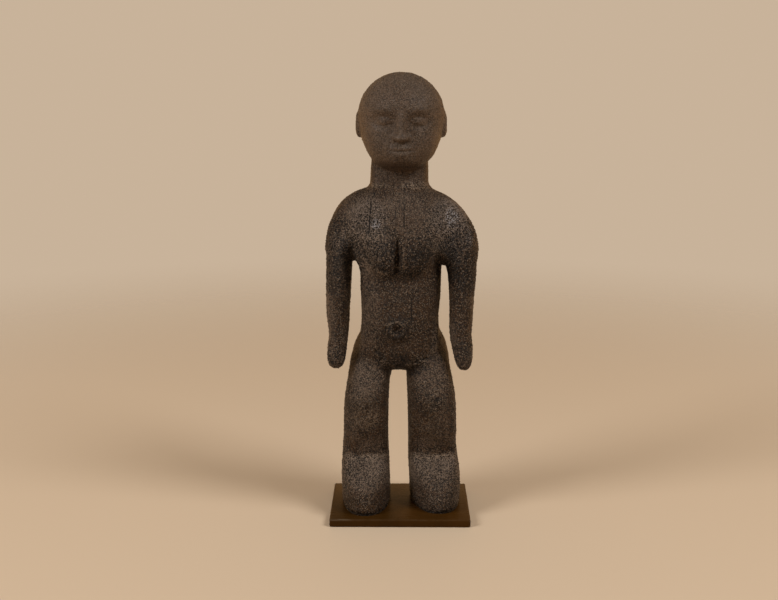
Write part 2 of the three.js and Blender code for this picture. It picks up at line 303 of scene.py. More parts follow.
def breast_edge(x):
    """Height of the breasts' lower edge, and 1 where it runs, 0 beyond its ends."""
    along, heights = np.array(BREAST_EDGE).T
    return np.interp(x, along, heights), smoothstep(along[0] - 4, along[0], x) * smoothstep(along[-1] + 4, along[-1], x)


def strongest(points, patches):
    """The largest of several patches, each with its centre, half sizes and depth."""
    return np.maximum.reduce([depth * patch(points, centre, half_sizes) for centre, half_sizes, depth in patches])


def crust_cover(points):
    """How thick and rough the dried crust lies, from 0 to 1, over the parts of the body."""
    x, y, z = points.T / MM
    side = np.abs(x)
    front = smoothstep(20, -10, y)
    cover = 0.48 + 0.14 * smoothstep(262, 240, z)
    arms = smoothstep(44, 52, side) * smoothstep(320, 295, z)
    cover = np.maximum(cover, arms * (0.62 + 0.33 * smoothstep(222, 240, z) + 0.2 * smoothstep(186, 172, z)))
    edge, over = breast_edge(x)
    breasts = over * smoothstep(-4, 2, z - edge) * smoothstep(300, 280, z)
    parts = (
        ((-54, -10, 270), (32, 60, 46), 1.0),
        ((56, -10, 268), (36, 60, 50), 1.0),
        ((-26, -25, 290), (36, 50, 36), 0.75),
        ((42, -20, 296), (32, 50, 34), 0.75),
        ((-4, -34, 196), (20, 30, 18), 0.85),
        ((2, -20, 160), (40, 40, 22), 0.9),
        ((-33, -34, 122), (26, 40, 18), 0.75),
        ((31, -34, 122), (26, 40, 18), 0.75),
    )
    cover = np.maximum.reduce([cover, front * breasts, front * strongest(points, parts)])
    cover = np.maximum(cover, 0.62 * smoothstep(64, 59, z))
    cover = np.maximum(cover, groin_folds(points))
    calm = front * smoothstep(332, 342, z)
    cover = cover * (1 - 0.5 * calm) * (1 - 0.3 * smoothstep(-8, 12, y))
    return np.clip(cover * (1 + 0.4 * layered(points, 20 * MM, SEED + 40, 3)), 0, 1)


def shade_and_grime_cover(points):
    """Where the wood is darkened, from 0 to 1: grime in the folds that hands never rubbed, and painted shade under and
    on the breasts, under the jaw, in armpits and creases, on the trunk's sides and along the soles.
    """
    x, y, z = points.T / MM
    edge, over = breast_edge(x)
    # Painted shade under the breasts and on their downward-facing fronts.
    under_breasts = 0.75 * over * band(z, edge - 3, 6) * smoothstep(-22, -14, x)
    on_breasts = 0.45 * over * smoothstep(-2, 4, z - edge) * smoothstep(286, 272, z)
    # The groin, armpit, upper-arm and trunk-side patches are partly grime, partly painted shade.
    parts = (
        ((2, -16, 156), (28, 34, 15), 1.0),
        ((-4, -34, 196), (26, 30, 24), 0.25),
        ((20, -34, 271), (14, 20, 7), 0.9),
        ((-50, -8, 262), (12, 40, 32), 0.75),
        ((48, -8, 262), (18, 40, 32), 0.85),
        ((68, -20, 252), (20, 40, 30), 0.5),
        ((-66, -20, 252), (20, 40, 30), 0.4),
        ((40, -22, 240), (8, 30, 36), 0.8),
        ((-9, -16, 140), (8, 44, 22), 0.8),
    )
    # Painted shade on the right flank of the trunk, beside the arm.
    flank = 0.5 * band(x, 36, 12) * band(z, 230, 40)
    from_navel = np.hypot(x + 4, z - 195)
    navel = np.maximum(0.45 * smoothstep(6.5, 5, from_navel), 0.6 * band(from_navel, 7.6, 1.8))
    navel *= smoothstep(-10, -20, y)
    front = smoothstep(14, -8, y)
    # Painted shade under the jaw.
    jaw = 0.6 * band(z, 354, 8) * smoothstep(34, 26, np.abs(x))
    knees = 0.3 * band(z, 118, 16)
    folds = [under_breasts, on_breasts, flank, navel, jaw, knees, strongest(points, parts)]
    # Painted contact shadow along the soles.
    soles = smoothstep(PLATE_THICKNESS / MM + 3.6, PLATE_THICKNESS / MM + 1.2, z)
    return np.clip(np.maximum(front * np.maximum.reduce(folds), soles), 0, 1)


def dust_and_sheen_cover(points):
    """Grey dust and rubbed, paler wood, partly a painted sheen where the lights fall, from 0 to 1: on the head, the
    thighs, the hands and the feet.
    """
    x, y, z = points.T / MM
    # The patches on the upper chest, shoulders, thighs and outer forearm are partly painted sheen and highlight.
    parts = (
        ((-33, -30, 147), (28, 40, 22), 0.54),
        ((31, -30, 147), (28, 40, 23), 0.46),
        ((-63, -20, 158), (16, 30, 26), 0.6),
        ((63, -20, 158), (16, 30, 26), 0.38),
        ((-46, -10, 180), (16, 30, 30), 0.35),
        ((44, -10, 180), (16, 30, 34), 0.6),
        ((2, -24, 306), (34, 30, 36), 0.34),
        ((-32, -20, 286), (32, 40, 50), 0.92),
        ((44, -20, 292), (32, 40, 42), 0.74),
        ((-58, -15, 262), (20, 40, 40), 0.6),
        ((52, -10, 306), (24, 34, 24), 0.95),
        ((0, -16, 345), (30, 30, 14), 0.2),
        ((-28, -20, 70), (18, 40, 16), 0.5),
        ((28, -20, 70), (18, 40, 16), 0.5),
        ((-30, -22, 216), (14, 30, 50), 0.35),
        ((-70, -6, 215), (12, 30, 60), 0.5),
        ((-44, -14, 110), (12, 30, 44), 0.3),
        ((42, -14, 110), (10, 30, 44), 0.3),
    )
    # Partly painted sheen on the forehead.
    head = 0.41 * smoothstep(350, 372, z)
    ankle = z + 2.5 * noise(points, 12 * MM, SEED + 46)
    feet = 0.78 * smoothstep(67, 56, ankle) * smoothstep(24, 44, z)
    toes = 0.2 * smoothstep(44, 24, z) * smoothstep(-10, 20, x)
    dust_and_sheen = np.maximum.reduce([head, feet, toes, strongest(points, parts)])
    return np.clip(dust_and_sheen * (1 + 0.4 * layered(points, 24 * MM, SEED + 44, 3)), 0, 1)


def pale_lines(points):
    """Rows of pale crumbs: on the ledge at the neck, along the breasts, round the navel, over the feet."""
    x, y, z = points.T / MM
    uneven = noise(points, 7 * MM, SEED + 50)
    edge, over = breast_edge(x)
    neck = band(z, 334.5 + 1.2 * uneven, 3 + 2 * smoothstep(-5, 5, x)) * smoothstep(32, 26, np.abs(x - 1))
    neck *= 0.35 + 0.65 * np.maximum(smoothstep(-2, 4, x), smoothstep(-16, -20, x))
    left_edge = over * band(z, edge + 0.8 * uneven, 3.2) * smoothstep(-8, -14, x)
    cleft_side = 0.6 * band(x, 2.6 + 0.6 * uneven, 1.8) * smoothstep(253, 258, z) * smoothstep(282, 274, z)
    right_edge = 0.7 * band(z, 253 + uneven, 4) * band(x, 23, 8)
    from_navel = np.hypot(x + 4, z - 195)
    navel = band(from_navel, 9.6, 2.0) * (0.3 + 0.7 * smoothstep(196, 202, z))
    insteps = 0.8 * band(z, 60 + 1.2 * uneven, 3.5)
    lines = np.maximum.reduce([1.3 * neck, left_edge, cleft_side, right_edge, insteps])
    lines = np.maximum.reduce([lines * smoothstep(-0.6, 0.1, uneven), navel, 0.55 * groin_folds(points)])
    return np.minimum(lines, 1) * smoothstep(4, -6, y)


def near_curve(points, corners, half_width):
    """1 along a line through the corners, each an x and a height in mm, 0 beyond its half width."""
    x, y, z = points.T / MM
    near = np.full(len(points), 99.0)
    for (x0, z0), (x1, z1) in zip(corners, corners[1:]):
        length = math.hypot(x1 - x0, z1 - z0)
        along = np.clip(((x - x0) * (x1 - x0) + (z - z0) * (z1 - z0)) / length**2, 0, 1)
        near = np.minimum(near, np.hypot(x - x0 - along * (x1 - x0), z - z0 - along * (z1 - z0)))
    return smoothstep(0, 1, 1 - near / half_width)


def groin_folds(points):
    """The folds from between the legs up to both hips, where black crust has gathered."""
    uneven = 1.4 + noise(points, 5 * MM, SEED + 60)
    right = near_curve(points, ((9, 158), (18, 162), (29, 167.5), (33.5, 175), (36, 186), (38, 194)), 5.5)
    left = near_curve(points, ((-8, 158), (-19, 164), (-24, 176)), 4.0)
    return np.clip(np.maximum(right, 0.9 * left) * uneven, 0, 1) * smoothstep(0, -8, points[:, 1] / MM)


def pitted_cover(points):
    """Where black pits lie between pale crumbs, from 0 to 1: in folds, round the navel and above the feet."""
    x, y, z = points.T / MM
    edge, over = breast_edge(x)
    breasts = 0.6 * over * band(z, edge + 1, 6)
    ring = band(np.hypot(x + 4, z - 195), 10, 4)
    ankles = 0.4 * band(z, 68, 8) * smoothstep(-34, -26, x)
    parts = (
        ((-46, -20, 268), (16, 30, 22), 0.5),
        ((50, -20, 262), (22, 30, 28), 0.5),
    )
    cover = np.maximum.reduce([breasts, ring, ankles, strongest(points, parts)])
    cover *= smoothstep(-0.5, 0.2, noise(points, 8 * MM, SEED + 70))
    return np.maximum(cover, groin_folds(points)) * smoothstep(2, -8, y)


def worm_cover(points):
    """Where thin crooked ridges of pale crust lie, from 0 to 1."""
    return strongest(points, (
        ((-33, -32, 106), (20, 24, 22), 0.7),
        ((-36, -30, 126), (16, 24, 12), 0.45),
        ((35, -30, 122), (16, 24, 16), 0.4),
        ((30, -30, 90), (16, 24, 18), 0.4),
    ))


def painted_glint_cover(points):
    """Small spots of painted highlight: bluish-white glints on the shoulders and chest, from 0 to 1."""
    return strongest(points, (
        ((50, -18, 305), (9, 18, 12), 0.85),
        ((-24, -29, 300), (6, 12, 6), 0.9),
        ((67, -16, 286), (5, 14, 12), 0.35),
        ((-30, -22, 306), (22, 30, 24), 0.1),
        ((46, -18, 304), (22, 30, 22), 0.15),
    ))


def crack_lines(points):
    """Drying cracks on the front: 1 along each line. They wander as they follow the grain."""
    x, y, z = points.T / MM
    cracks = np.zeros(len(points))
    for top, bottom, x_top, x_bottom, half_width in CRACKS:
        along = np.clip((z - bottom) / (top - bottom), 0, 1)
        middle = x_bottom + (x_top - x_bottom) * along
        ends = smoothstep(0, 5, z - bottom) * smoothstep(0, 5, top - z)
        cracks = np.maximum(cracks, ends * band(x, middle, half_width + 0.7))
    return cracks * smoothstep(6, -6, y)


def carved_lines(points):
    """Depth in mm of the lines cut with a knife: between the breasts, at the wrists, in the face."""
    x, y, z = points.T / MM
    front = smoothstep(4, -8, y)
    slit_middle = -3.9 + 0.03 * (z - 253)
    slit_width = 1.4 + 0.07 * (284 - z)
    cleft = 2.2 * band(x, slit_middle, slit_width) * smoothstep(249, 254, z) * smoothstep(288, 283, z)
    wrist_height = 187 + 2.5 * noise(points, 9 * MM, SEED + 80)
    wrists = 0.4 * band(z, wrist_height, 1.6) * smoothstep(44, 50, np.abs(x))
    side = np.abs(x - FACE_X / MM)
    lid_arch = EYE_LINE / MM + 4.2 - 0.035 * (side - EYE_WIDTH / MM) ** 2
    lid = 0.7 * band(z, lid_arch, 1.1) * band(side, EYE_WIDTH / MM, 10)
    lower_arch = EYE_LINE / MM - 3.6 + 0.03 * (side - EYE_WIDTH / MM) ** 2
    lower_lid = 0.45 * band(z, lower_arch, 1.0) * band(side, EYE_WIDTH / MM, 9)
    lips = 0.8 * band(z, MOUTH_LINE / MM - 0.2 + 0.004 * side ** 2, 1.1) * smoothstep(15, 11, side)
    nostrils = 0.9 * band(side, 5.4, 2.6) * band(z, NOSE_BASE / MM - 0.5, 2.2)
    face = (lid + lower_lid + lips + nostrils) * smoothstep(-22, -30, y)
    return cleft * front + wrists * smoothstep(0, -6, y) + face


def carve_surface(figure):
    """Presses tool marks, crust, grain and cracks into the fine mesh, and keeps what the material needs."""
    mesh = figure.data
    points = places(mesh)
    normals = outward(mesh)
    z = points[:, 2]
    cover = crust_cover(points)
    tool_marks = noise(points * (1, 1, 0.55), 15 * MM, SEED) + 0.5 * noise(points * (1, 1, 0.7), 7 * MM, SEED + 1)
    coarse = lumps(points + 0.5 * MM * np.stack([noise(points, 3 * MM, SEED + k) for k in (11, 12, 13)], 1),
                   2.6 * MM, SEED + 2)
    fine = lumps(points, 1.6 * MM, SEED + 3)
    rough = layered(points, 4.5 * MM, SEED + 4, 3)
    fibres = noise(points * (1, 1, 0.09), 1.7 * MM, SEED + 8)
    lines = pale_lines(points)
    beads = cover * (0.6 * (coarse - 0.6) + 0.4 * (fine - 0.6)) + 0.6 * lines
    beads += pitted_cover(points) * (0.2 - 1.5 * holes(points, 2.7 * MM, SEED + 72))
    crust = beads + 0.5 * cover * rough
    face_calm = smoothstep(355, 365, z / MM) * smoothstep(-10, -30, points[:, 1] / MM)
    cracks = crack_lines(points)
    height = (0.16 + 0.1 * cover) * tool_marks * (1 - 0.6 * face_calm) + crust
    height += 0.09 * fibres * (1 - cover) - 0.6 * cracks - carved_lines(points)
    above_sole = z / MM - PLATE_THICKNESS / MM
    height -= 2.2 * smoothstep(4.5, 0, above_sole) ** 2
    flat_sole = (above_sole < 0.35) & (normals[:, 2] < -0.6)
    height[flat_sole] = 0
    points += normals * height[:, None] * MM
    points[:, 2] = np.maximum(points[:, 2], PLATE_THICKNESS)
    points[flat_sole, 2] = PLATE_THICKNESS
    mesh.vertices.foreach_set("co", points.ravel())
    mesh.update()
    marks = {"crust": cover, "shade_and_grime": shade_and_grime_cover(points), "dust_and_sheen": dust_and_sheen_cover(points), "line": lines,
             "worms": worm_cover(points), "painted_glint": painted_glint_cover(points), "lump": np.clip(0.5 + beads, 0, 1)}
    for name, values in marks.items():
        set_attribute(mesh, name, values)


def make_figure():
    figure = even_fine_figure()
    carve_surface(figure)
    faces = len(figure.data.polygons) * 2
    if faces > FIGURE_TRIANGLES:
        thin = figure.modifiers.new("thin", "DECIMATE")
        thin.ratio = FIGURE_TRIANGLES / faces
        apply_modifiers(figure)
    figure.data.shade_smooth()
    figure.data.name = figure.name
    return figure


# The base plate

def make_plate():
    """A flat plate with small round corners and softly eased edges, as large as the solid one."""
    low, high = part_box("base_plate")
    mesh = bpy.data.meshes.new("plate")
    work = bmesh.new()
    bmesh.ops.create_cube(work, size=1)
    size = high - low
    middle = (low + high) / 2
    for vertex in work.verts:
        vertex.co = middle + type(middle)(a * b for a, b in zip(vertex.co, size))
    upright = [e for e in work.edges if abs(e.verts[0].co.z - e.verts[1].co.z) > PLATE_THICKNESS / 2]
    bmesh.ops.bevel(work, geom=upright, offset=PLATE_CORNER, segments=6, profile=0.5, affect="EDGES")
    rims = [e for e in work.edges if abs(e.verts[0].co.z - e.verts[1].co.z) < 1e-6 and e.is_manifold
            and e.calc_face_angle(0) > 1]
    bmesh.ops.bevel(work, geom=rims, offset=PLATE_EDGE, segments=PLATE_EDGE_STEPS, profile=0.5, affect="EDGES")
    bmesh.ops.triangulate(work, faces=[f for f in work.faces if len(f.verts) > 4])
    work.to_mesh(mesh)
    work.free()
    plate = new_object("plate", mesh)
    mesh.shade_smooth()
    mesh.set_sharp_from_angle(angle=math.radians(40))
    return plate


# Materials: small helpers

def link_or_set(tree, socket, value):
    if isinstance(value, bpy.types.NodeSocket):
        tree.links.new(value, socket)
    elif value is not None:
        socket.default_value = value


def add(tree, kind, inputs=None, **settings):
    """Adds a node, sets its settings, and links or sets the inputs that are named or numbered."""
    made = tree.nodes.new(kind)
    for name, value in settings.items():
        setattr(made, name, value)
    for name, value in (inputs or {}).items():
        link_or_set(tree, made.inputs[name], value)
    return made


def calculate(tree, operation, *values, clamp=False):
    return add(tree, "ShaderNodeMath", dict(enumerate(values)), operation=operation, use_clamp=clamp).outputs[0]


def brighter(tree, colour, factor):
    """The colour times a number, which may be above 1."""
    return add(tree, "ShaderNodeVectorMath", {0: colour, "Scale": factor}, operation="SCALE").outputs[0]


def mix_colours(tree, factor, first, second, blend="MIX"):
    made = add(tree, "ShaderNodeMix", {0: factor, 6: first, 7: second}, data_type="RGBA", blend_type=blend)
    return made.outputs[2]


def remap(tree, value, low, high, new_low=0.0, new_high=1.0):
    inputs = {"Value": value, "From Min": low, "From Max": high, "To Min": new_low, "To Max": new_high}
    return add(tree, "ShaderNodeMapRange", inputs, interpolation_type="SMOOTHSTEP").outputs[0]


def stretched(tree, vector, scale):
    return add(tree, "ShaderNodeMapping", {"Vector": vector, "Scale": scale}).outputs[0]


def noise_of(tree, vector, scale, detail=2.0, roughness=0.5, distortion=0.0):
    inputs = {"Vector": vector, "Scale": scale, "Detail": detail, "Roughness": roughness, "Distortion": distortion}
    return add(tree, "ShaderNodeTexNoise", inputs).outputs[0]


def object_place(tree):
    return add(tree, "ShaderNodeTexCoord").outputs["Object"]


def shader_group(name, inputs, outputs):
    """An empty node group with its named inputs and outputs. Returns it with its two end nodes."""
    group = bpy.data.node_groups.new(name, "ShaderNodeTree")
    for socket, (kind, value) in inputs.items():
        made = group.interface.new_socket(socket, in_out="INPUT", socket_type=kind)
        made.default_value = value
    for socket, kind in outputs.items():
        group.interface.new_socket(socket, in_out="OUTPUT", socket_type=kind)
    return group, add(group, "NodeGroupInput").outputs, add(group, "NodeGroupOutput").inputs


FLOAT = "NodeSocketFloat"


def grain_group():
    """Upright wood fibres: narrow lines that run along Z and wander a little."""
    group, given, result = shader_group(
        "upright_grain", {"Lines": (FLOAT, 700.0), "Wander": (FLOAT, 0.4)}, {"Mask": FLOAT, "Height": FLOAT})
    place = stretched(group, object_place(group), (1.0, 1.0, 0.06))
    fine = noise_of(group, place, given["Lines"], 3.0, 0.6, given["Wander"])
    broad = noise_of(group, place, calculate(group, "MULTIPLY", given["Lines"], 0.22), 2.0, 0.5, given["Wander"])
    mask = remap(group, calculate(group, "ADD", calculate(group, "MULTIPLY", fine, 0.6),
                                  calculate(group, "MULTIPLY", broad, 0.4)), 0.35, 0.68)
    group.links.new(mask, result["Mask"])
    group.links.new(fine, result["Height"])
    return group


def crumbs_group():
    """Crumbly crust on an even ground: small pits with painted shade in them, small pale crumbs, fine grit and
    worm-like ridges.
    """
    group, given, result = shader_group(
        "crumbs", {"Grains": (FLOAT, 530.0), "Cover": (FLOAT, 0.5), "Pit": (FLOAT, 0.95)},
        {"Tone": FLOAT, "Crumbs": FLOAT, "Ridges": FLOAT, "Height": FLOAT})
    place = object_place(group)
    strength = calculate(group, "MULTIPLY_ADD", given["Cover"], 1.0, 0.2)

    def dots(offset, edge, middle):
        moved = add(group, "ShaderNodeMapping", {"Vector": place, "Location": offset}).outputs[0]
        cells = add(group, "ShaderNodeTexVoronoi", {"Vector": moved, "Scale": given["Grains"], "Randomness": 0.85})
        return calculate(group, "MULTIPLY", remap(group, cells.outputs["Distance"], edge, middle), strength)

    pits = dots((0.0, 0.0, 0.0), 0.54, 0.34)
    crumbs = dots((0.31, 0.17, 0.23), 0.44, 0.26)
    grit = calculate(group, "SUBTRACT", noise_of(group, place, calculate(group, "MULTIPLY", given["Grains"], 2.4)), 0.5)
    grit = calculate(group, "MULTIPLY", grit, strength)
    winding = noise_of(group, place, calculate(group, "MULTIPLY", given["Grains"], 0.55), 1.0, 0.5, 0.8)
    ridges = remap(group, calculate(group, "ABSOLUTE", calculate(group, "SUBTRACT", winding, 0.5)), 0.07, 0.02)
    # Painted shade: the colour darkened in the pits.
    pit_shade = calculate(group, "SUBTRACT", 1.0, calculate(group, "MULTIPLY", pits, given["Pit"]))
    uneven = calculate(group, "MULTIPLY_ADD", grit, 5.0, 1.0)
    tone = calculate(group, "MULTIPLY", pit_shade, uneven)
    height = calculate(group, "SUBTRACT", crumbs, pits)
    height = calculate(group, "MULTIPLY_ADD", grit, 1.5, height)
    group.links.new(calculate(group, "MAXIMUM", tone, 0.02), result["Tone"])
    group.links.new(crumbs, result["Crumbs"])
    group.links.new(ridges, result["Ridges"])
    group.links.new(height, result["Height"])
    return group


def crack_group():
    """A hairline drying crack that runs down the front and wanders a little."""
    group, given, result = shader_group(
        "hairline_crack",
        {name: (FLOAT, 0.0) for name in ("Top", "Bottom", "X Top", "X Bottom", "Half Width")}, {"Mask": FLOAT})
    apart = add(group, "ShaderNodeSeparateXYZ", {0: object_place(group)}).outputs
    along = add(group, "ShaderNodeMapRange", {
        "Value": apart["Z"], "From Min": given["Bottom"], "From Max": given["Top"],
        "To Min": given["X Bottom"], "To Max": given["X Top"]}).outputs[0]
    upright = add(group, "ShaderNodeCombineXYZ", {2: apart["Z"]}).outputs[0]
    wander = calculate(group, "MULTIPLY", calculate(group, "SUBTRACT", noise_of(group, upright, 160.0, 3.0), 0.5),
                       2.2 * MM)
    aside = calculate(group, "ABSOLUTE", calculate(group, "SUBTRACT", apart["X"],
                                                   calculate(group, "ADD", along, wander)))
    line = remap(group, aside, given["Half Width"], calculate(group, "MULTIPLY", given["Half Width"], 0.5))
    above = remap(group, calculate(group, "SUBTRACT", apart["Z"], given["Bottom"]), 0.0, 5 * MM)
    below = remap(group, calculate(group, "SUBTRACT", given["Top"], apart["Z"]), 0.0, 5 * MM)
    front = remap(group, apart["Y"], -2 * MM, -8 * MM)
    mask = calculate(group, "MULTIPLY", calculate(group, "MULTIPLY", line, front),
                     calculate(group, "MULTIPLY", above, below))
    group.links.new(mask, result["Mask"])
    return group


def dust_and_sheen_group():
    """Grey dust that settles on what faces upwards, in patches, and partly a painted sheen: upward faces made paler as
    if lit from above.
    """
    group, given, result = shader_group(
        "upward_dust_and_sheen", {"Amount": (FLOAT, 0.5), "Patches": (FLOAT, 60.0)}, {"Mask": FLOAT})
    facing = add(group, "ShaderNodeSeparateXYZ", {0: add(group, "ShaderNodeTexCoord").outputs["Normal"]}).outputs["Z"]
    upward = remap(group, facing, -0.1, 0.9)
    patches = noise_of(group, object_place(group), given["Patches"], 5.0, 0.7)
    spread = remap(group, patches, 0.3, 0.7, 0.35, 1.0)
    mask = calculate(group, "MULTIPLY", calculate(group, "MULTIPLY", upward, spread), given["Amount"], clamp=True)
    group.links.new(mask, result["Mask"])
    return group


def wear_group():
    """Rubbed edges and high places, broken up by fine noise."""
    group, given, result = shader_group(
        "rubbed_edges", {"Low": (FLOAT, 0.5), "High": (FLOAT, 0.6), "Speckle": (FLOAT, 400.0)}, {"Mask": FLOAT})
    edge = add(group, "ShaderNodeNewGeometry").outputs["Pointiness"]
    inputs = {"Value": edge, "From Min": given["Low"], "From Max": given["High"]}
    high = add(group, "ShaderNodeMapRange", inputs, interpolation_type="SMOOTHSTEP").outputs[0]
    speckle = noise_of(group, object_place(group), given["Speckle"], 3.0, 0.6)
    mask = calculate(group, "MULTIPLY", high, remap(group, speckle, 0.3, 0.6, 0.3, 1.0), clamp=True)
    group.links.new(mask, result["Mask"])
    return group


def place_group(tree, group, inputs=None):
    made = tree.nodes.new("ShaderNodeGroup")
    made.node_tree = group
    for name, value in (inputs or {}).items():
        link_or_set(tree, made.inputs[name], value)
    return made.outputs


def new_material(name):
    material = bpy.data.materials.new(name)
    material.use_nodes = True
    tree = material.node_tree
    return material, tree, tree.nodes["Principled BSDF"].inputs


def bumps(tree, height, strength, distance):
    inputs = {"Height": height, "Strength": strength, "Distance": distance}
    return add(tree, "ShaderNodeBump", inputs).outputs[0]


def rgb(red, green, blue):
    return (red, green, blue, 1.0)


GRAIN = grain_group()
CRUMBS = crumbs_group()
CRACK = crack_group()
DUST_AND_SHEEN = dust_and_sheen_group()
WEAR = wear_group()

# Darkest wood, for the grain lines and for grime and painted shade.
WOOD_DARK = rgb(0.014, 0.0062, 0.0022)
WOOD = rgb(0.054, 0.0275, 0.012)
WOOD_WARM = rgb(0.055, 0.024, 0.0075)
CRUST_PALE = rgb(0.34, 0.255, 0.185)
# Grey of dust, also used for the painted sheen on the wood.
DUST_AND_SHEEN_COLOUR = rgb(0.155, 0.11, 0.081)
# Bluish-white of the painted glints.
GLINT_HIGHLIGHT = rgb(0.42, 0.41, 0.44)
# Near-black, for the cracks and for the painted shade in the seams of the relief.
CREVICE = rgb(0.006, 0.003, 0.0014)


def crack_mask(tree):
    """All the cracks of the front together."""
    masks = []
    for top, bottom, x_top, x_bottom, half_width in CRACKS:
        sizes = {"Top": top, "Bottom": bottom, "X Top": x_top, "X Bottom": x_bottom, "Half Width": half_width}
        masks.append(place_group(tree, CRACK, {name: size * MM for name, size in sizes.items()})["Mask"])
    total = masks[0]
    for mask in masks[1:]:
        total = calculate(tree, "MAXIMUM", total, mask)
    return total


def wood_material(name, loose_grains):
    """Old dark wood under a dry crust. The loose grains of the crust have no cracks or hollows."""
    material, tree, surface = new_material(name)
    place = object_place(tree)
    grain = place_group(tree, GRAIN)
    if loose_grains:
        cover, lump, shade_and_grime, dust_and_sheen, worms, painted_glint, crack = 0.6, 0.8, 0.1, 0.3, 0.0, 0.0, 0.0
        line = remap(tree, noise_of(tree, place, 650.0, 1.0), 0.5, 0.68)
    else:
        cover, lump, shade_and_grime, dust_and_sheen, line, worms, painted_glint = (
            add(tree, "ShaderNodeAttribute", attribute_name=n).outputs["Fac"]
            for n in ("crust", "lump", "shade_and_grime", "dust_and_sheen", "line", "worms", "painted_glint"))
        crack = crack_mask(tree)
    crumbs = place_group(tree, CRUMBS, {"Cover": cover})
    dust_and_sheen_on_top = place_group(tree, DUST_AND_SHEEN, {"Amount": 0.25})
    tone = noise_of(tree, place, 28.0, 4.0, 0.6)
    colour = mix_colours(tree, remap(tree, tone, 0.3, 0.7), WOOD_WARM, WOOD)
    colour = mix_colours(tree, calculate(tree, "MULTIPLY", grain["Mask"], 0.3), colour, WOOD_DARK)
    # Grey dust, and painted sheen: upward faces and lit patches made paler and greyer.
    colour = mix_colours(tree, calculate(tree, "MAXIMUM", dust_and_sheen_on_top["Mask"], dust_and_sheen), colour, DUST_AND_SHEEN_COLOUR)
    # Darker wood: grime in the folds, and painted shade in creases, under the breasts and jaw and along the soles.
    colour = mix_colours(tree, calculate(tree, "MULTIPLY", shade_and_grime, 0.75), colour, WOOD_DARK)
    colour = brighter(tree, colour, crumbs["Tone"])
    pale = calculate(tree, "MULTIPLY", crumbs["Crumbs"], remap(tree, lump, 0.2, 0.8, 0.6, 1.0))
    pale = calculate(tree, "MULTIPLY", pale, calculate(tree, "MULTIPLY_ADD", shade_and_grime, -0.5, 1.0))
    pale = calculate(tree, "MAXIMUM", pale, calculate(tree, "MULTIPLY", line, remap(tree, crumbs["Tone"], 0.65, 1.25)))
    pale = calculate(tree, "MAXIMUM", pale, calculate(tree, "MULTIPLY", worms, crumbs["Ridges"]))
    colour = mix_colours(tree, calculate(tree, "MULTIPLY", pale, 0.72), colour, CRUST_PALE)
    # Painted highlight: bluish-white glints mixed into the colour on the shoulders and chest.
    glint = calculate(tree, "MULTIPLY", painted_glint, remap(tree, crumbs["Tone"], 0.8, 1.25))
    colour = mix_colours(tree, glint, colour, GLINT_HIGHLIGHT)
    # Painted shade: the low seams and pits of the relief darkened almost to black.
    seam_shade = remap(tree, lump, 0.36, 0.08)
    colour = mix_colours(tree, calculate(tree, "MULTIPLY", seam_shade, 0.7), colour, CREVICE)
    colour = mix_colours(tree, crack, colour, CREVICE)
    link_or_set(tree, surface["Base Color"], colour)
    polish = noise_of(tree, place, 34.0, 2.0, 0.5)
    roughness = remap(tree, polish, 0.4, 0.66, 0.52, 0.42)
    roughness = calculate(tree, "ADD", roughness, calculate(tree, "MULTIPLY", dust_and_sheen_on_top["Mask"], 0.3), clamp=True)
    link_or_set(tree, surface["Roughness"], roughness)
    height = calculate(tree, "MULTIPLY_ADD", grain["Height"], 0.6, crumbs["Height"])
    height = calculate(tree, "MULTIPLY_ADD", calculate(tree, "MULTIPLY", worms, crumbs["Ridges"]), 0.3, height)
    height = calculate(tree, "MULTIPLY_ADD", crack, -0.6, height)
    link_or_set(tree, surface["Normal"], bumps(tree, height, 1.0, 0.6 * MM))
    surface["Specular IOR Level"].default_value = 0.3
    return material


PLATE_COLOUR = rgb(0.037, 0.0145, 0.0013)
PLATE_BROWN = rgb(0.053, 0.02, 0.002)
PLATE_WORN = rgb(0.12, 0.085, 0.055)


def plate_material():
    """Brown-black satin lacquer on metal, with faint wipe marks and paler rubbed edges."""
    material, tree, surface = new_material("plate_lacquer")
    place = object_place(tree)
    clouds = noise_of(tree, place, 22.0, 4.0, 0.6)
    wipes = noise_of(tree, stretched(tree, place, (0.25, 1.0, 1.0)), 420.0, 3.0, 0.6, 0.3)
    dust_and_sheen = place_group(tree, DUST_AND_SHEEN, {"Amount": 0.03, "Patches": 90.0})
    wear = place_group(tree, WEAR, {"Low": 0.53, "High": 0.6})
    colour = mix_colours(tree, remap(tree, clouds, 0.35, 0.7), PLATE_COLOUR, PLATE_BROWN)
    colour = mix_colours(tree, dust_and_sheen["Mask"], colour, DUST_AND_SHEEN_COLOUR)
    colour = mix_colours(tree, calculate(tree, "MULTIPLY", wear["Mask"], 0.35), colour, PLATE_WORN)
    apart = add(tree, "ShaderNodeSeparateXYZ", {0: place}).outputs
    front_edge = calculate(tree, "MULTIPLY", remap(tree, apart["Y"], -48 * MM, -49.2 * MM),
                           remap(tree, apart["Z"], 6.2 * MM, 7.2 * MM))
    rubbed = calculate(tree, "MULTIPLY", front_edge, remap(tree, apart["X"], -38 * MM, -60 * MM, 0.15, 0.8))
    colour = mix_colours(tree, calculate(tree, "MULTIPLY", rubbed, remap(tree, wipes, 0.4, 0.6, 0.4, 1.0)),
                         colour, PLATE_WORN)
    link_or_set(tree, surface["Base Color"], colour)
    link_or_set(tree, surface["Roughness"], remap(tree, wipes, 0.3, 0.7, 0.26, 0.36))
    link_or_set(tree, surface["Normal"], bumps(tree, wipes, 0.15, 0.1 * MM))
    surface["Specular IOR Level"].default_value = 0.09
    return material


# Loose grains of crust

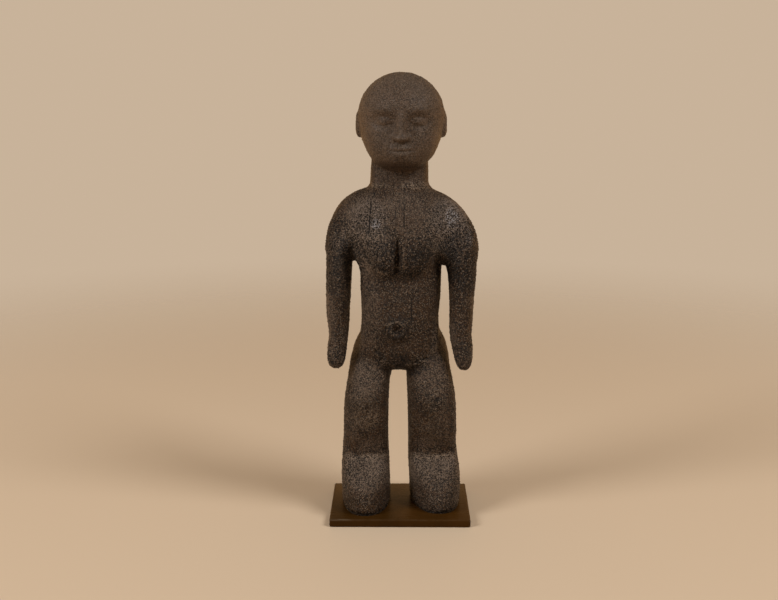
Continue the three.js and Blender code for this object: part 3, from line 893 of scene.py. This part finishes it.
def grain_tree():
    """Geometry nodes that scatter small rough grains over a surface, thicker where its crust is."""
    tree = bpy.data.node_groups.new("scattered_grains", "GeometryNodeTree")
    socket = tree.interface.new_socket
    socket("Geometry", in_out="INPUT", socket_type="NodeSocketGeometry")
    for name, value in (("Per Square Metre", 30000.0), ("Smallest", 0.35 * MM), ("Largest", 0.9 * MM)):
        socket(name, in_out="INPUT", socket_type=FLOAT).default_value = value
    for name, value in (("Seed", SEED), ("Segments", 5), ("Rings", 3)):
        socket(name, in_out="INPUT", socket_type="NodeSocketInt").default_value = value
    socket("Material", in_out="INPUT", socket_type="NodeSocketMaterial")
    socket("Geometry", in_out="OUTPUT", socket_type="NodeSocketGeometry")
    given = add(tree, "NodeGroupInput").outputs
    cover = add(tree, "GeometryNodeInputNamedAttribute", {"Name": "grain_cover"}, data_type="FLOAT").outputs[0]
    density = calculate(tree, "MULTIPLY", cover, given["Per Square Metre"])
    scatter = add(tree, "GeometryNodeDistributePointsOnFaces",
                  {"Mesh": given["Geometry"], "Density": density, "Seed": given["Seed"]}, distribute_method="RANDOM")
    ball = add(tree, "GeometryNodeMeshUVSphere",
               {"Radius": 1.0, "Segments": given["Segments"], "Rings": given["Rings"]})
    size = add(tree, "FunctionNodeRandomValue",
               {2: given["Smallest"], 3: given["Largest"], "Seed": given["Seed"]}, data_type="FLOAT").outputs[1]
    squash = add(tree, "FunctionNodeRandomValue",
                 {0: (0.7, 0.7, 0.45), 1: (1.3, 1.3, 0.9), "Seed": SEED + 2}, data_type="FLOAT_VECTOR").outputs[0]
    scale = add(tree, "ShaderNodeVectorMath", {0: squash, "Scale": size}, operation="SCALE").outputs[0]
    turn = add(tree, "FunctionNodeRandomValue",
               {0: (0, 0, 0), 1: (0.5, 0.5, 6.28), "Seed": SEED + 3}, data_type="FLOAT_VECTOR").outputs[0]
    around = add(tree, "FunctionNodeEulerToRotation", {0: turn}).outputs[0]
    facing = add(tree, "FunctionNodeRotateRotation",
                 {0: scatter.outputs["Rotation"], 1: around}, rotation_space="LOCAL").outputs[0]
    placed = add(tree, "GeometryNodeInstanceOnPoints",
                 {"Points": scatter.outputs["Points"], "Instance": ball.outputs["Mesh"],
                  "Rotation": facing, "Scale": scale})
    real = add(tree, "GeometryNodeRealizeInstances", {0: placed.outputs[0]})
    finished = add(tree, "GeometryNodeSetMaterial", {"Geometry": real.outputs[0], "Material": given["Material"]})
    tree.links.new(finished.outputs[0], add(tree, "NodeGroupOutput").inputs[0])
    return tree


def make_grains(name, figure, material, amount, sizes):
    """Scatters grains over the figure. The amount is a number for each of its points, 1 where most lie."""
    grains = new_object(name, figure.data.copy())
    set_attribute(grains.data, "grain_cover", amount)
    spread = grains.modifiers.new("spread", "NODES")
    spread.node_group = grain_tree()
    named = {item.name: item.identifier for item in spread.node_group.interface.items_tree if item.in_out == "INPUT"}
    for size_name, value in sizes.items():
        spread[named[size_name]] = value
    spread[named["Material"]] = material
    apply_modifiers(grains)
    grains.data.shade_smooth()
    grains.data.name = grains.name
    return grains


def coarse_grain_cover(points):
    x, y, z = points.T / MM
    cover = np.maximum(crust_cover(points), pale_lines(points))
    clumps = smoothstep(0.05, 0.6, noise(points, 9 * MM, SEED + 90) + 0.4 * noise(points, 4 * MM, SEED + 91))
    face = smoothstep(350, 360, z) * smoothstep(-5, -20, y)
    open_wood = (1 - face) * (1 - crack_lines(points)) * smoothstep(10.5, 12, z)
    return smoothstep(0.45, 0.95, cover) * (0.65 + 0.35 * clumps) * open_wood


def grit_cover(points):
    x, y, z = points.T / MM
    cover = np.maximum(crust_cover(points), pale_lines(points))
    face = smoothstep(350, 360, z) * smoothstep(-5, -20, y)
    behind = smoothstep(-5, 15, y)
    open_wood = (1 - 0.55 * face) * (1 - 0.6 * behind) * (1 - crack_lines(points)) * smoothstep(9, 10, z)
    return (0.2 + 0.8 * smoothstep(0.3, 0.8, cover)) * open_wood


# The object

figure = make_figure()
wood = wood_material("carved_wood", loose_grains=False)
figure.data.materials.clear()
figure.data.materials.append(wood)
loose = wood_material("crust_wood", loose_grains=True)
surface_points = places(figure.data)
beside_pits = smoothstep(0.25, 0.5, attribute(figure.data, "lump"))
grains = make_grains("crust_grains", figure, loose, coarse_grain_cover(surface_points) * beside_pits,
                     {"Per Square Metre": 150000.0, "Smallest": 0.45 * MM, "Largest": 0.95 * MM})
grit = make_grains("crust_grit", figure, loose, grit_cover(surface_points) * beside_pits,
                   {"Per Square Metre": 320000.0, "Smallest": 0.35 * MM, "Largest": 0.7 * MM,
                    "Seed": SEED + 5, "Segments": 4, "Rings": 2})
plate = make_plate()
plate.data.materials.append(plate_material())

for piece, slot_name in ((figure, "carved_wood"), (grains, "carved_wood"), (grit, "carved_wood"),
                         (plate, "plate_lacquer")):
    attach(piece, BODY)
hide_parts("figure")
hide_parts("base_plate")


# Floor, light and camera

def make_floor():
    """A wide pale floor that is solid round the figure and fades into the backdrop further out."""
    material, tree, surface = new_material("pale_floor")
    surface["Base Color"].default_value = rgb(0.72, 0.57, 0.42)
    surface["Roughness"].default_value = 0.6
    away = add(tree, "ShaderNodeVectorMath", {0: object_place(tree)}, operation="LENGTH").outputs["Value"]
    fade = remap(tree, away, FLOOR_SOLID, FLOOR_END, 1.0, 0.0)
    link_or_set(tree, surface["Alpha"], fade)
    corners = np.array([(-1, -1, 0), (1, -1, 0), (1, 1, 0), (-1, 1, 0)]) * FLOOR_END
    floor = new_object("floor", mesh_of("floor", corners, np.array([(0, 1, 2, 3)])))
    floor.data.materials.append(material)


def around(azimuth, elevation, distance):
    """A place round the figure: azimuth 0 is in front and 90 at +X."""
    a, e = math.radians(azimuth), math.radians(elevation)
    level = distance * math.cos(e)
    return (level * math.sin(a), -level * math.cos(a), AIM[2] + distance * math.sin(e))


def soft_light(name, place, target, size, watts, colour):
    data = bpy.data.lights.new(name, "AREA")
    data.shape = "DISK"
    data.size = size
    data.energy = watts
    data.color = colour
    light = bpy.data.objects.new(name, data)
    bpy.context.scene.collection.objects.link(light)
    light.location = place
    direction = np.array(target) - np.array(place)
    light.rotation_euler = type(light.location)(direction).to_track_quat("-Z", "Y").to_euler()


def make_world():
    """Soft light from all round, with a warm glow from a pale backdrop behind the figure."""
    world = bpy.data.worlds.new("studio")
    world.use_nodes = True
    tree = world.node_tree
    direction = add(tree, "ShaderNodeSeparateXYZ", {0: add(tree, "ShaderNodeTexCoord").outputs["Generated"]}).outputs
    low = remap(tree, direction["Z"], 0.6, 0.2)
    behind = calculate(tree, "MULTIPLY", remap(tree, direction["Y"], -0.25, 0.45), low)
    glow = mix_colours(tree, behind, WORLD_LIGHT, BACKDROP_GLOW)
    seen = add(tree, "ShaderNodeLightPath").outputs["Is Camera Ray"]
    background = tree.nodes["Background"].inputs
    link_or_set(tree, background["Color"], mix_colours(tree, seen, glow, BACKDROP))
    background["Strength"].default_value = 1.0
    bpy.context.scene.world = world


def make_camera():
    data = bpy.data.cameras.new("camera")
    data.lens = 52
    data.sensor_width = 36
    camera = bpy.data.objects.new("camera", data)
    bpy.context.scene.collection.objects.link(camera)
    camera.location = (-0.00097, -1.0936, 0.4484)
    camera.rotation_euler = (math.radians(78.19), 0, math.radians(0.54))
    bpy.context.scene.camera = camera


AIM = (0, 0, 0.22)
LIGHT_DISTANCE = 3.0
LIGHT_SIZE = 1.3
FLOOR_SOLID = 0.45
FLOOR_END = 1.6
BACKDROP = rgb(0.58, 0.45, 0.325)
BACKDROP_GLOW = rgb(0.78, 0.42, 0.16)
WORLD_LIGHT = rgb(0.2, 0.165, 0.12)

make_floor()
make_world()
soft_light("light_left", around(-61, 30, LIGHT_DISTANCE), AIM, LIGHT_SIZE, 48, (1.0, 0.98, 0.95))
soft_light("light_right", around(61, 44, LIGHT_DISTANCE), AIM, LIGHT_SIZE, 47, (1.0, 0.98, 0.95))
make_camera()
bpy.context.scene.view_settings.view_transform = "Standard"
